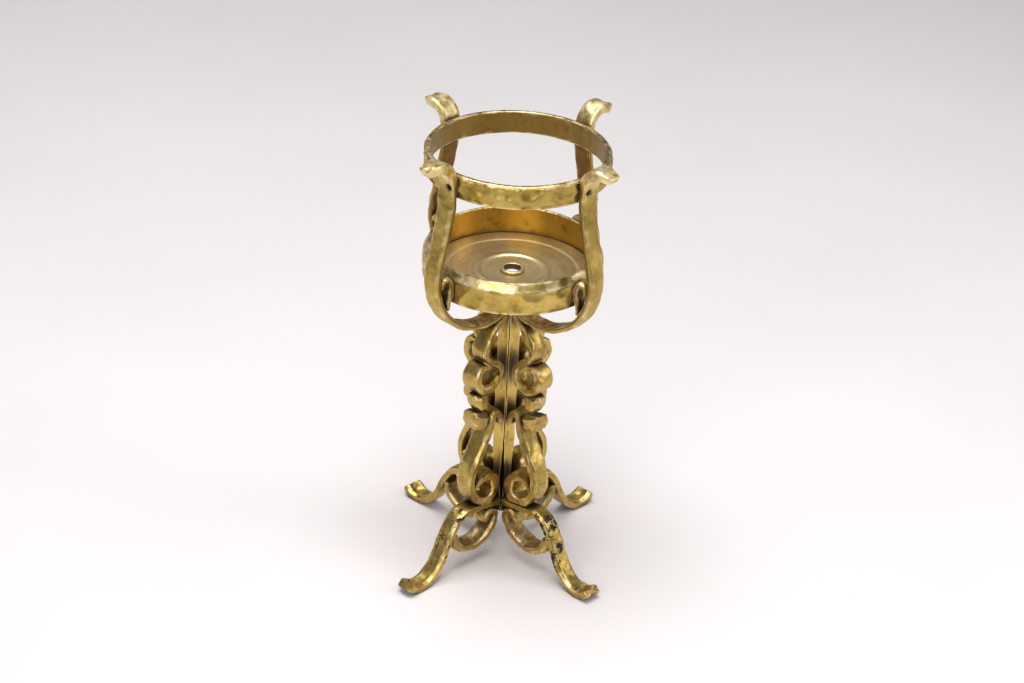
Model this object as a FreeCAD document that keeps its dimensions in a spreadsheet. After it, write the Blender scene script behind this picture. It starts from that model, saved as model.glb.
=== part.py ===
"""A four-legged scrollwork pedestal stand with two hoops and a lift-out pan.

Frame: +Z up, the floor at z = 0, the origin on the stand's axis.  Four equal brackets stand back to
back around the axis.  Each bracket is drawn in its own radial plane, x being the radius and z the
height, and its Placement turns it about Z to the bracket's azimuth.
"""
import FreeCAD, Part
import math
import os
import re
import Sketcher
from FreeCAD import Vector

BRACKETS = ("front_left", "front_right", "back_right", "back_left")

DIMENSIONS = {
    # turn of each bracket about Z, in degrees
    "front_left_azimuth": 225, "front_right_azimuth": 315,
    "back_right_azimuth": 45, "back_left_azimuth": 135,
    # column
    "spine_outer_radius": 5.5, "spine_inner_radius": 1.2, "spine_seam": 0.7,
    "spine_bottom": 32.0, "spine_top": 192.3,
    # flat bars: width across the bracket's plane, thickness in it, and how far the route lies
    # below the bar's show face
    "leg_width": 11.5, "leg_thickness": 5.0, "leg_face": 2.5,
    "loop_width": 12.5, "loop_thickness": 4.8, "loop_face": 1.75,
    "volute_width": 13.0, "volute_thickness": 4.6, "volute_face": 1.75,
    "scroll_width": 12.5, "scroll_thickness": 4.0, "scroll_face": 2.0,
    "arm_width": 11.5, "arm_thickness": 4.0, "arm_face": 2.0,
    "curl_width": 11.0, "curl_thickness": 3.8, "curl_face": 1.5,
    "collar_width": 13.5, "bead_width": 12.5,
    "bar_bevel": 0.9, "collar_bevel": 1.0, "bead_bevel": 1.8,
    # hoops
    "upper_hoop_radius": 58.4, "upper_hoop_wall": 3.6,
    "upper_hoop_bottom": 281.9, "upper_hoop_height": 15.0, "upper_hoop_bevel": 1.2,
    "lower_hoop_radius": 57.3, "lower_hoop_wall": 4.3,
    "lower_hoop_bottom": 208.9, "lower_hoop_height": 21.2,
    "lower_hoop_bevel_width": 2.6, "lower_hoop_bevel_drop": 5.1,
    "ledge_width": 3.0, "ledge_height": 1.1,
    # rivets through the arms and the upper hoop
    "rivet_radius": 1.6, "rivet_clearance": 0.04, "rivet_height": 289.6, "rivet_length": 7.2,
    # pan and eyelet
    "pan_radius": 52.6, "pan_underside": 210.3, "pan_hole_radius": 6.2,
    "pan_floor_thickness": 0.8, "pan_ring_thickness": 1.7, "pan_field_thickness": 1.2,
    "pan_rim_thickness": 1.5, "pan_ring_inner": 20.1, "pan_ring_outer": 23.3, "pan_step_radius": 42.0,
    "pan_shoulder": 0.4,
    "eyelet_hole_radius": 5.0, "eyelet_barrel_radius": 6.15, "eyelet_flange_radius": 7.75,
    "eyelet_bottom": 209.2, "eyelet_flange_height": 2.1, "eyelet_bevel": 0.6,
}

doc = FreeCAD.newDocument("ScrollworkStand")
sheet = doc.addObject("Spreadsheet::Sheet", "Dimensions")
for row, (name, value) in enumerate(DIMENSIONS.items(), start=1):
    sheet.set(f"A{row}", name)
    sheet.set(f"B{row}", str(value))
    sheet.setAlias(f"B{row}", name)
doc.recompute()
bodies = []


def size(name):
    """The value of one cell of the sheet."""
    return float(sheet.get(name))


# ---- curves -----------------------------------------------------------------------------------

def turned(vector, degrees):
    """A plane vector turned anticlockwise."""
    angle = math.radians(degrees)
    cos, sin = math.cos(angle), math.sin(angle)
    return Vector(vector.x * cos - vector.y * sin, vector.x * sin + vector.y * cos, 0)


def circle_heading(before, here, after):
    """The heading at the middle point of the circle through three points."""
    first, second = (here - before), (after - here)
    weight_first, weight_second = second.Length / first.Length, first.Length / second.Length
    heading = first * weight_first + second * weight_second
    return heading.normalize()


def end_heading(end, neighbour, neighbour_heading):
    """The heading at a route's end, mirrored from its neighbour's about the chord."""
    chord = (neighbour - end).normalize()
    return chord * (2 * chord.dot(neighbour_heading)) - neighbour_heading


def route_headings(points, given):
    """A unit heading for each point, from its neighbours or from the angle that is given for it."""
    headings = [None] * len(points)
    for i in range(1, len(points) - 1):
        headings[i] = circle_heading(points[i - 1], points[i], points[i + 1])
    for i, angle in given.items():
        headings[i] = turned(Vector(1, 0, 0), angle)
    if headings[0] is None:
        inner = headings[1] or (points[1] - points[0]).normalize()
        headings[0] = end_heading(points[0], points[1], inner)
    if headings[-1] is None:
        inner = headings[-2] or (points[-1] - points[-2]).normalize()
        headings[-1] = end_heading(points[-1], points[-2], inner)
    return headings


def joint_point(start, start_heading, end, end_heading_):
    """Where the two arcs of a biarc meet, and their common heading."""
    chord = end - start
    sum_heading = start_heading + end_heading_
    a = 2 * (1 - start_heading.dot(end_heading_))
    b = 2 * chord.dot(sum_heading)
    c = -chord.dot(chord)
    if abs(a) < 1e-9:
        reach = -c / b
    else:
        reach = (-b + math.sqrt(b * b - 4 * a * c)) / (2 * a)
    first, second = start + start_heading * reach, end - end_heading_ * reach
    middle = (first + second) * 0.5
    return middle, (second - first).normalize()


def offset_arc(start, start_heading, end, end_heading_, offset):
    """The arc between two points, moved to its left by an offset; a straight stretch is a line."""
    left_start, left_end = turned(start_heading, 90), turned(end_heading_, 90)
    a, b = start + left_start * offset, end + left_end * offset
    if start_heading.cross(end_heading_).Length < 1e-6:
        return Part.LineSegment(a, b)
    chord = (end - start).normalize()
    turn = start_heading.cross(chord).z
    side = math.copysign(1, turn)
    radius = (end - start).Length / (2 * abs(turn))
    centre = start + left_start * side * radius
    towards_middle = turned(chord, -90 * side)
    return Part.Arc(a, centre + towards_middle * (radius - side * offset), b)


def smooth_run(route, offset=0.0):
    """Tangent arcs through the route's points.  A point is (x, z), or (x, z, heading in degrees)."""
    points = [Vector(p[0], p[1], 0) for p in route]
    given = {i: p[2] for i, p in enumerate(route) if len(p) == 3}
    headings = route_headings(points, given)
    arcs = []
    for i in range(len(points) - 1):
        middle, heading = joint_point(points[i], headings[i], points[i + 1], headings[i + 1])
        arcs.append(offset_arc(points[i], headings[i], middle, heading, offset))
        arcs.append(offset_arc(middle, heading, points[i + 1], headings[i + 1], offset))
    return arcs


def bar_outline(route, thickness, face):
    """The closed outline of a flat bar along a route that lies a step inside its show face.

    The step is positive where the show face is on the route's left, and negative on its right.
    """
    back = face - math.copysign(thickness, face)
    left, right = smooth_run(route, max(face, back)), smooth_run(route, min(face, back))
    start_cap = Part.LineSegment(right[0].StartPoint, left[0].StartPoint)
    end_cap = Part.LineSegment(left[-1].EndPoint, right[-1].EndPoint)
    return left + [end_cap] + right + [start_cap]


def closed_outline(chains):
    """A closed outline of smooth chains that meet at corners."""
    arcs = []
    for chain in chains:
        arcs += smooth_run(chain)
    return arcs


# ---- features ---------------------------------------------------------------------------------

def new_body(label, side=None):
    """A body; a bracket's piece is turned to its bracket's azimuth."""
    body = doc.addObject("PartDesign::Body", label)
    body.Label = label
    body.Placement = FreeCAD.Placement(Vector(0, 0, 0), FreeCAD.Rotation(Vector(0, 0, 1), 0))
    if side:
        azimuth = sheet.evalExpression(f"{side}_azimuth")
        body.Placement.Rotation = FreeCAD.Rotation(Vector(0, 0, 1), azimuth)
        body.setExpression("Placement.Rotation.Angle", on_sheet(f"{side}_azimuth"))
    bodies.append(body)
    return body


def sketch_on(body, plane, name, geometry):
    """A sketch of the given curves on one of the body's own origin planes."""
    sketch = body.newObject("Sketcher::SketchObject", f"{body.Name}_{name}")
    support = [f for f in body.Origin.OriginFeatures if f.Role == plane][0]
    sketch.AttachmentSupport = [(support, "")]
    sketch.MapMode = "FlatFace"
    sketch.addGeometry(geometry, False)
    return sketch


def pad_across(body, sketch, width_cell):
    """A pad to both sides of the bracket's plane, its width bound to the sheet."""
    pad = body.newObject("PartDesign::Pad", f"{sketch.Name}_pad")
    pad.Profile = sketch
    pad.SideType = "Symmetric"
    pad.setExpression("Length", on_sheet(width_cell))
    return pad


def long_edges(shape, width, end_points):
    """The names of the edges along a padded bar's two side faces, without its end caps."""
    names = []
    for i, edge in enumerate(shape.Edges, start=1):
        on_side = all(abs(abs(v.Y) - width / 2) < 1e-4 for v in edge.Vertexes)
        same_side = len({round(v.Y, 3) for v in edge.Vertexes}) == 1
        caps = [all(min((Vector(v.X, v.Z, 0) - p).Length for p in cap) < 1e-4 for v in edge.Vertexes)
                for cap in end_points]
        if on_side and same_side and not any(caps):
            names.append(f"Edge{i}")
    return names


def chamfer(body, base, names, bevel_cell):
    feature = body.newObject("PartDesign::Chamfer", f"{base.Name}_bevel")
    feature.Base = (base, names)
    feature.setExpression("Size", on_sheet(bevel_cell))
    return feature


def bar(body, name, route, kind, side=1):
    """A flat bar along a route, with its long edges bevelled; side is -1 for a show face on the right."""
    width_cell = f"{kind}_width"
    outline = bar_outline(route, size(f"{kind}_thickness"), side * size(f"{kind}_face"))
    sketch = sketch_on(body, "XZ_Plane", name, outline)
    pad = pad_across(body, sketch, width_cell)
    doc.recompute()
    arcs = (len(outline) - 2) // 2
    ends = [(outline[i].StartPoint, outline[i].EndPoint) for i in (arcs, 2 * arcs + 1)]
    chamfer(body, pad, long_edges(pad.Shape, size(width_cell), ends), "bar_bevel")
    return body


def block(body, name, chains, kind):
    """A thick rounded block with its outline bevelled on both sides."""
    sketch = sketch_on(body, "XZ_Plane", name, closed_outline(chains))
    pad = pad_across(body, sketch, f"{kind}_width")
    doc.recompute()
    chamfer(body, pad, long_edges(pad.Shape, size(f"{kind}_width"), []), f"{kind}_bevel")
    return body


def on_sheet(formula):
    """A formula of sheet names, as an expression that any object can read."""
    return re.sub(r"[a-z]\w*", r"<<Dimensions>>.\g<0>", formula)


def revolved(body, outline):
    """A full turn about Z of a closed outline whose corners are (radius, height) formulas of the sheet."""
    corners = [Vector(sheet.evalExpression(radius), sheet.evalExpression(height), 0)
               for radius, height in outline]
    sides = [Part.LineSegment(a, b) for a, b in zip(corners, corners[1:] + corners[:1])]
    sketch = sketch_on(body, "XZ_Plane", "section", sides)
    for i, (radius, height) in enumerate(outline):
        sketch.addConstraint(Sketcher.Constraint("Coincident", i - 1 if i else len(sides) - 1, 2, i, 1))
        for kind, formula, value in (("DistanceX", radius, corners[i].x), ("DistanceY", height, corners[i].y)):
            at = sketch.addConstraint(Sketcher.Constraint(kind, -1, 1, i, 1, value))
            sketch.renameConstraint(at, f"{kind}_{i}")
            sketch.setExpression(f"Constraints.{kind}_{i}", on_sheet(formula))
    turn = body.newObject("PartDesign::Revolution", f"{body.Name}_turn")
    turn.Profile = sketch
    turn.ReferenceAxis = (sketch, ["V_Axis"])
    turn.Angle = 360
    doc.recompute()


def radial_holes(body, count):
    """Round holes for the rivets, cut outwards along the radius."""
    radius = size("rivet_radius") + size("rivet_clearance")
    circle = Part.Circle(Vector(0, size("rivet_height"), 0), Vector(0, 0, 1), radius)
    sketch = sketch_on(body, "YZ_Plane", "rivet_hole", [circle])
    sketch.addConstraint(Sketcher.Constraint("Radius", 0, radius))
    sketch.renameConstraint(0, "hole_radius")
    sketch.setExpression("Constraints.hole_radius", on_sheet("rivet_radius + rivet_clearance"))
    doc.recompute()
    uncut_volume = body.Shape.Volume
    pocket = body.newObject("PartDesign::Pocket", f"{body.Name}_rivet_hole_cut")
    pocket.Profile = sketch
    pocket.Type = "ThroughAll"
    pocket.Reversed = True
    doc.recompute()
    if count > 1:
        pattern = body.newObject("PartDesign::PolarPattern", f"{body.Name}_hole_pattern")
        pattern.Originals = [pocket]
        pattern.Axis = (sketch, ["V_Axis"])
        pattern.Angle = 360
        pattern.Occurrences = count
        body.Tip = pattern
        doc.recompute()
    wall = size("upper_hoop_wall")
    if uncut_volume - body.Shape.Volume < count * math.pi * radius * radius * wall * 0.9:
        raise RuntimeError(f"{body.Label} lacks its rivet holes")


# ---- bracket pieces ---------------------------------------------------------------------------

def spine(label, side):
    """One flat bar of the column, mitred on its inner side so that four make a square tube."""
    body = new_body(label, side)
    outer, inner, seam = size("spine_outer_radius"), size("spine_inner_radius"), size("spine_seam")
    corners = [Vector(outer, seam - outer, 0), Vector(outer, outer - seam, 0),
               Vector(inner, inner - seam, 0), Vector(inner, seam - inner, 0)]
    sides = [Part.LineSegment(a, b) for a, b in zip(corners, corners[1:] + corners[:1])]
    sketch = sketch_on(body, "XY_Plane", "section", sides)
    sketch.setExpression("AttachmentOffset.Base.z", on_sheet("spine_bottom"))
    pad = body.newObject("PartDesign::Pad", f"{body.Name}_pad")
    pad.Profile = sketch
    pad.setExpression("Length", on_sheet("spine_top - spine_bottom"))


def leg(label, side):
    """Out from the column, over the knee, down to a flat foot and up to the toe."""
    half = size("leg_thickness") / 2
    route = [(size("spine_outer_radius"), 39.7, 4), (24, 43.0), (35.5, 44.1), (41.2, 41.8), (46.7, 36.2),
             (51.4, 28.4), (56.0, 18.4), (62.8, 8.3), (72, half, 0), (77, half, 0), (82.6, half + 1.8),
             (86.4, half + 5.2)]
    bar(new_body(label, side), "route", route, "leg")


def lower_loop(label, side):
    """A C-scroll under the leg: curled in beside the column, then round to the shin's underside."""
    route = [(18.6, 29.6), (17.6, 34.0), (13.2, 36.4), (9.2, 33.4), (9.2, 27.8), (12.6, 21.9), (20, 16.0),
             (29.5, 13.4), (38.5, 15.7), (44.9, 20.2), (47.3, 24.2), (46.6, 28.3)]
    bar(new_body(label, side), "route", route, "loop", -1)


def lower_volute(label, side):
    """A hooked end beside the column, down and out, round the bottom and back up into the eye."""
    route = [(9.6, 103.5, 88), (10.3, 110.2), (13.6, 113.4), (17.2, 111.8), (18.6, 107.0), (19.9, 101.6),
             (22.8, 94.8), (27.2, 86.6), (32, 77.9), (34.8, 68.9), (34.4, 60.3), (30.6, 52.4),
             (23.7, 47.3), (16.4, 47.2), (11.6, 51.7), (10.8, 59.0), (14.6, 65.8), (21.2, 67.6),
             (28.0, 64.4)]
    bar(new_body(label, side), "route", route, "volute")


def collar(label, side):
    """A lobe on the outer side of the lower volute's hook."""
    inner = [(20.8, 112.6, -84), (21.5, 108.0), (22.6, 104.0)]
    lobe = [(22.6, 104.0, 18), (27.0, 105.2), (31.0, 107.6), (33.6, 111.6), (32.8, 116.0), (28.6, 118.0),
            (24.0, 116.6), (20.8, 112.6)]
    block(new_body(label, side), "outline", [inner, lobe], "collar")


def bead(label, side):
    """The rounded block between the collar and the upper scroll."""
    outline = [(20.9, 125.0, 90), (22.2, 129.6), (26.2, 131.6), (30.2, 129.6), (31.6, 125.0),
               (30.2, 120.4), (26.2, 118.4), (22.2, 120.4), (20.9, 125.0, 90)]
    block(new_body(label, side), "outline", [outline], "bead")


def upper_scroll(label, side):
    """A bow beside the column, in towards it, then round into a small curl."""
    route = [(7.6, 183.2, -38), (13, 179.4), (18.6, 174.4), (23.3, 168.2), (26.1, 161.8), (24.9, 156.8),
             (20.8, 153.4), (15.8, 150.2), (12.6, 146.2), (12.7, 141.0), (16.0, 136.7), (21.2, 134.5),
             (26.4, 135.5), (30.0, 139.6), (31.0, 144.8), (30.0, 148.9), (26.8, 151.0)]
    bar(new_body(label, side), "route", route, "scroll")


def arm(label, side):
    """From the column's top down, out under the cup, up to the hoops and out to the flared tip."""
    body = new_body(label, side)
    upright = size("upper_hoop_radius") + size("arm_thickness") / 2
    start = size("spine_outer_radius") + size("arm_thickness") / 2
    route = [(start, size("spine_top"), -86), (9.9, 187.2), (15, 184.4), (21, 183.2), (28, 183.0),
             (36, 184.3), (44, 187.2), (52, 191.9), (59, 198.0), (65, 206.1), (69, 215.7), (70.8, 225.8),
             (69.8, 236), (67.2, 246.2), (64.8, 256.4), (62.6, 266.6), (upright, 279, 90),
             (upright, 292, 90), (62.4, 298.2), (66.8, 303.2), (73.0, 305.0), (79.2, 303.2)]
    bar(body, "route", route, "arm", -1)
    radial_holes(body, 1)


def arm_curl(label, side):
    """A small curl from the arm's inner side to the lower hoop's wall."""
    wall = size("lower_hoop_radius") + size("curl_face")
    route = [(60.7, 207.0, 98), (59.8, 212.0), (wall, 217.8, 90), (wall, 222.6, 90), (61.8, 227.2),
             (66.0, 226.2), (66.6, 221.4)]
    bar(new_body(label, side), "route", route, "curl")


# ---- shared pieces ----------------------------------------------------------------------------

def upper_hoop(label):
    """The plain hoop, turned so that its four rivet holes meet the arms."""
    body = new_body(label, "back_right")
    outer, inner = "upper_hoop_radius", "upper_hoop_radius - upper_hoop_wall"
    low, high = "upper_hoop_bottom", "upper_hoop_bottom + upper_hoop_height"
    revolved(body, [(inner, low), (outer, low), (outer, f"{high} - upper_hoop_bevel"),
                    (f"{outer} - upper_hoop_bevel", high), (inner, high)])
    radial_holes(body, 4)


def lower_hoop(label):
    """The cup's wall: a bevelled rim above, and a narrow ledge inside the foot that carries the pan."""
    outer, inner = "lower_hoop_radius", "lower_hoop_radius - lower_hoop_wall"
    low, high = "lower_hoop_bottom", "lower_hoop_bottom + lower_hoop_height"
    ledge_radius, ledge_top = f"{inner} - ledge_width", f"{low} + ledge_height"
    revolved(new_body(label), [(ledge_radius, low), (outer, low), (outer, f"{high} - lower_hoop_bevel_drop"),
                               (f"{outer} - lower_hoop_bevel_width", high), (inner, high),
                               (inner, ledge_top), (ledge_radius, ledge_top)])


def pan(label):
    """A spun disc: a thin floor round the hole, a raised ring, a flat field and a raised rim."""
    under, shoulder = "pan_underside", "pan_shoulder"
    floor_z, ring_z, field_z, rim_z = (f"{under} + pan_{level}_thickness"
                                       for level in ("floor", "ring", "field", "rim"))
    hole, rim, step = "pan_hole_radius", "pan_radius", "pan_step_radius"
    ring_in, ring_out = "pan_ring_inner", "pan_ring_outer"
    revolved(new_body(label), [(hole, under), (rim, under), (rim, rim_z), (f"{step} + {shoulder}", rim_z),
                               (f"{step} - {shoulder}", field_z), (f"{ring_out} + {shoulder}", field_z),
                               (f"{ring_out} - {shoulder}", ring_z), (f"{ring_in} + {shoulder}", ring_z),
                               (f"{ring_in} - {shoulder}", floor_z), (hole, floor_z)])


def pan_eyelet(label):
    """A grommet through the pan's hole, its flange on the pan's floor."""
    hole, barrel, flange = "eyelet_hole_radius", "eyelet_barrel_radius", "eyelet_flange_radius"
    low, floor_z = "eyelet_bottom", "pan_underside + pan_floor_thickness"
    top = f"{floor_z} + eyelet_flange_height"
    revolved(new_body(label), [(hole, low), (barrel, low), (barrel, floor_z), (flange, floor_z),
                               (flange, f"{top} - eyelet_bevel"), (f"{flange} - eyelet_bevel", top),
                               (hole, top)])


def upper_hoop_rivets(label):
    """Four flush rivets, as one group of separate solids."""
    start = size("upper_hoop_radius") - size("upper_hoop_wall") + 0.1
    radius, length, height = size("rivet_radius"), size("rivet_length"), size("rivet_height")
    shanks = []
    for side in BRACKETS:
        shank = Part.makeCylinder(radius, length, Vector(start, 0, height), Vector(1, 0, 0))
        shank.rotate(Vector(0, 0, 0), Vector(0, 0, 1), size(f"{side}_azimuth"))
        shanks.append(shank)
    group = doc.addObject("Part::Feature", label)
    group.Label = label
    group.Shape = Part.makeCompound(shanks)
    group.Placement = FreeCAD.Placement()
    bodies.append(group)


BRACKET_PIECES = {"spine": spine, "leg": leg, "lower_loop": lower_loop, "lower_volute": lower_volute,
                  "collar": collar, "bead": bead, "upper_scroll": upper_scroll, "arm": arm,
                  "arm_curl": arm_curl}
SHARED_PIECES = {"upper_hoop": upper_hoop, "lower_hoop": lower_hoop, "pan": pan,
                 "pan_eyelet": pan_eyelet, "upper_hoop_rivets": upper_hoop_rivets}

for bracket_side in BRACKETS:
    for piece, make in BRACKET_PIECES.items():
        make(f"{bracket_side}_{piece}", bracket_side)
for piece, make in SHARED_PIECES.items():
    make(piece)
doc.recompute()

for item in doc.Objects:
    if {"Invalid", "Error"} & set(item.State):
        raise RuntimeError(f"{item.Label} failed: {item.State}")
for body in bodies:
    if body.Shape.isNull() or not body.Shape.isValid():
        raise RuntimeError(f"{body.Label} has no valid shape")

os.makedirs("parts", exist_ok=True)
for body in bodies:
    body.Shape.exportStep(f"parts/{body.Label}.step")
    box = body.Shape.BoundBox
    print(f"{body.Label}: {len(body.Shape.Solids)} solid, volume {body.Shape.Volume:.0f}, "
          f"x {box.XMin:.1f} to {box.XMax:.1f}, z {box.ZMin:.2f} to {box.ZMax:.2f}")
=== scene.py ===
"""Looks for the four-legged scrollwork stand: hammered gilt bars, two hoops and a spun pan."""
import math
from itertools import product

import bmesh
import bpy
import numpy as np
from mathutils import Matrix, Vector


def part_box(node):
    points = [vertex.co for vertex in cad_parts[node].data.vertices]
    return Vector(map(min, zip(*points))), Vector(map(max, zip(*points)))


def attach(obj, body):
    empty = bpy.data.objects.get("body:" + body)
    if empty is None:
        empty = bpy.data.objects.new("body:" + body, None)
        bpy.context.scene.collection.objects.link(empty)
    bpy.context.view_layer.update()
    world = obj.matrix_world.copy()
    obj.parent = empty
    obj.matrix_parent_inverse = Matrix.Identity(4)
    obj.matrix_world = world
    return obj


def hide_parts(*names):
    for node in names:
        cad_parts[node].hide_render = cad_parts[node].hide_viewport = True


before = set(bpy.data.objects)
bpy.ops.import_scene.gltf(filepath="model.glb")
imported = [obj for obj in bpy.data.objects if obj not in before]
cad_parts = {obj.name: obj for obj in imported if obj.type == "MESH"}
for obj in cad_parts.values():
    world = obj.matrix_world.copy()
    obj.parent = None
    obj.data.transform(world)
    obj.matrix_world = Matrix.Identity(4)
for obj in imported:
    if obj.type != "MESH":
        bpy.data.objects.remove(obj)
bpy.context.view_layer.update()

MM = 0.001
UP = np.array([0, 0, 1.0])
# Each bracket's azimuth round the column, degrees.
BRACKETS = {"front_left": 225, "front_right": 315, "back_right": 45, "back_left": 135}

# Lengths in mm from here on, unless a name says otherwise.
CLEAR_OF_FLOOR = 0.05       # the lowest that a hammered foot may reach
OUTLINE_STEP = 0.85         # spacing of the points round a bar
EDGE_REACH = 0.5            # how far the wear of an edge spreads
CUT_END = 1.0               # length over which a bar's cut end rounds off
CUT_END_SIZE = 0.82         # a cut end's size, as a fraction of the bar's
CALM_START = 2.0            # length over which the hammering fades in from a bar's start
COLUMN_HALF = 5.5           # from the column's axis to its faces
SPINE_INNER = 1.2           # from the column's axis to a spine bar's hidden inner face
COLUMN_FOOT, COLUMN_TOP = 32, 192.6
SEAM, SEAM_WANDER = 0.75, 0.2
SEAM_GAPE, GAPE_HEIGHT, GAPE_REACH = 2.0, 58, 16
RIVET_HEIGHT = 289.6
UPPER_HOOP_RADIUS, UPPER_HOOP_WALL = 58.4, 3.6
LOWER_HOOP_RADIUS, LOWER_HOOP_WALL, LEDGE_WIDTH = 57.3, 4.3, 3.0
FLOOR_HALF = 6000


# ---- camera, floor and light ------------------------------------------------------------------

def look_from(elevation, turn, distance, roll, target, lens):
    """The scene's camera, looking down at a target beside the column's axis."""
    e, p = math.radians(elevation), math.radians(turn)
    back = Vector((math.sin(p) * math.cos(e), -math.cos(p) * math.cos(e), math.sin(e)))
    place = Vector(target) + back * distance
    rotation = back.to_track_quat("Z", "Y").to_matrix().to_4x4()
    camera = bpy.data.objects.new("camera", bpy.data.cameras.new("camera"))
    camera.matrix_world = Matrix.Translation(place) @ rotation @ Matrix.Rotation(math.radians(roll), 4, "Z")
    camera.data.sensor_width = 36
    camera.data.lens = lens
    camera.data.clip_end = 30
    bpy.context.scene.collection.objects.link(camera)
    bpy.context.scene.camera = camera


def area_light(name, place, size, power, colour, aim=(0, 0, 0.15)):
    """A soft rectangular light that faces the middle of the stand."""
    light = bpy.data.lights.new(name, "AREA")
    light.shape = "RECTANGLE"
    light.size, light.size_y = size
    light.energy = power
    light.color = colour
    holder = bpy.data.objects.new(name, light)
    holder.location = place
    holder.rotation_euler = (Vector(aim) - Vector(place)).to_track_quat("-Z", "Y").to_euler()
    bpy.context.scene.collection.objects.link(holder)


# ---- numbers over the surface -----------------------------------------------------------------

def hashed(cells, seed):
    """A steady random number from 0 to 1 for each whole-number cell; the large numbers only mix bits."""
    x = cells.astype(np.int64) & 0xFFFFF
    h = (x[..., 0] * 73856093) ^ (x[..., 1] * 19349663) ^ (x[..., 2] * 83492791) ^ (seed * 2654435761)
    h = (h ^ (h >> 13)) * 1274126177 & 0x7FFFFFFF
    h = (h ^ (h >> 15)) * 2246822519 & 0x7FFFFFFF
    return ((h ^ (h >> 11)) & 0xFFFFF) / float(0xFFFFF)


def lumps(points, size, seed):
    """Smooth noise from -1 to 1 with features of about one size."""
    p = points / size
    base = np.floor(p)
    t = p - base
    t = t * t * (3 - 2 * t)
    total = 0
    for corner in product((0, 1), repeat=3):
        weight = np.prod(np.where(corner, t, 1 - t), axis=1)
        total = total + hashed(base + np.array(corner), seed) * weight
    return total * 2 - 1


def dents(points, size, seed):
    """0 in the middle of a hammer mark, rising to 1 on the ridges between marks."""
    p = points / size
    base = np.floor(p)
    nearest = np.full(len(p), 9.0)
    for neighbour in product((-1, 0, 1), repeat=3):
        cell = base + np.array(neighbour)
        centre = cell + np.stack([hashed(cell, seed + k) for k in (1, 2, 3)], axis=1)
        nearest = np.minimum(nearest, ((centre - p) ** 2).sum(axis=1))
    ridge = 0.55
    return np.clip(nearest / ridge, 0, 1)


def facets(points, size, seed):
    """Flat planes that meet in creases, from -1 to 1: random heights on the corners of skewed cells."""
    tilt = Matrix.Rotation(0.7, 3, Vector((1, 2, 3)).normalized())
    p = points @ np.array(tilt) / size
    base = np.floor(p)
    t = p - base
    order = np.argsort(-t, axis=1)
    falls = np.take_along_axis(t, order, axis=1)
    weights = -np.diff(falls, axis=1, prepend=1, append=0)
    corner = base.copy()
    total = hashed(corner, seed) * weights[:, 0]
    for k in range(3):
        corner[np.arange(len(p)), order[:, k]] += 1
        total = total + hashed(corner, seed) * weights[:, k + 1]
    return total * 2 - 1


# ---- swept bars -------------------------------------------------------------------------------

def unit(vectors):
    return vectors / np.linalg.norm(vectors, axis=-1, keepdims=True)


def headings(p):
    """A smooth line's direction at each of its points."""
    if len(p) == 2:
        return np.array([unit(p[1] - p[0])] * 2)
    heads = np.zeros_like(p)
    for i in range(1, len(p) - 1):
        before, after = p[i] - p[i - 1], p[i + 1] - p[i]
        turn = np.linalg.norm(after) / np.linalg.norm(before)
        heads[i] = unit(before * turn + after / turn)
    for end, inner in ((0, 1), (-1, -2)):
        chord = unit(p[inner] - p[end])
        heads[end] = 2 * chord * chord.dot(heads[inner]) - heads[inner]
    return heads


def route_line(points, step):
    """Points, headings and lengths at even steps along a smooth line through (radius, height) points."""
    p = np.array(points, float)
    heads = headings(p)
    line = []
    for i in range(len(p) - 1):
        reach = np.linalg.norm(p[i + 1] - p[i])
        t = np.linspace(0, 1, 40, endpoint=i == len(p) - 2)[:, None]
        line.append((2 * t**3 - 3 * t**2 + 1) * p[i] + (t**3 - 2 * t**2 + t) * heads[i] * reach
                    + (3 * t**2 - 2 * t**3) * p[i + 1] + (t**3 - t**2) * heads[i + 1] * reach)
    line = np.concatenate(line)
    along = np.r_[0, np.cumsum(np.linalg.norm(np.diff(line, axis=0), axis=1))]
    count = max(4, int(along[-1] / step))
    s = np.linspace(0, along[-1], count + 1)
    even = np.stack([np.interp(s, along, line[:, k]) for k in (0, 1)], axis=1)
    return even, unit(np.gradient(even, axis=0)), s


def ring_outline(corners, step):
    """Points round a closed outline, with the outward normal and how near each is to a corner."""
    points, normals, edge = [], [], []
    corners = np.array(corners, float)
    for a, b in zip(corners, np.roll(corners, -1, axis=0)):
        run = b - a
        length = np.linalg.norm(run)
        count = max(1, int(round(length / step)))
        for k in range(count):
            t = k / count
            points.append(a + run * t)
            normals.append(np.array([run[1], -run[0]]) / length)
            edge.append(math.exp(-min(t, 1 - t) * length / EDGE_REACH))
    normals, edge = np.array(normals), np.array(edge)
    for i in np.nonzero(edge > 0.999)[0]:
        normals[i] = unit(normals[i] + normals[i - 1])
    return np.array(points), normals, edge


def bracket_axes(azimuth):
    """Unit directions outwards from the column and across a bracket's bars."""
    a = math.radians(azimuth)
    return np.array([math.cos(a), math.sin(a), 0]), np.array([-math.sin(a), math.cos(a), 0])


def grid_faces(rows, cols, closed=False):
    """Quads over a grid of points whose columns wrap round, and whose rows do too where it is closed."""
    faces = []
    for i in range(rows if closed else rows - 1):
        n = (i + 1) % rows
        for j in range(cols):
            k = (j + 1) % cols
            faces.append((i * cols + j, i * cols + k, n * cols + k, n * cols + j))
    return faces


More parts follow.
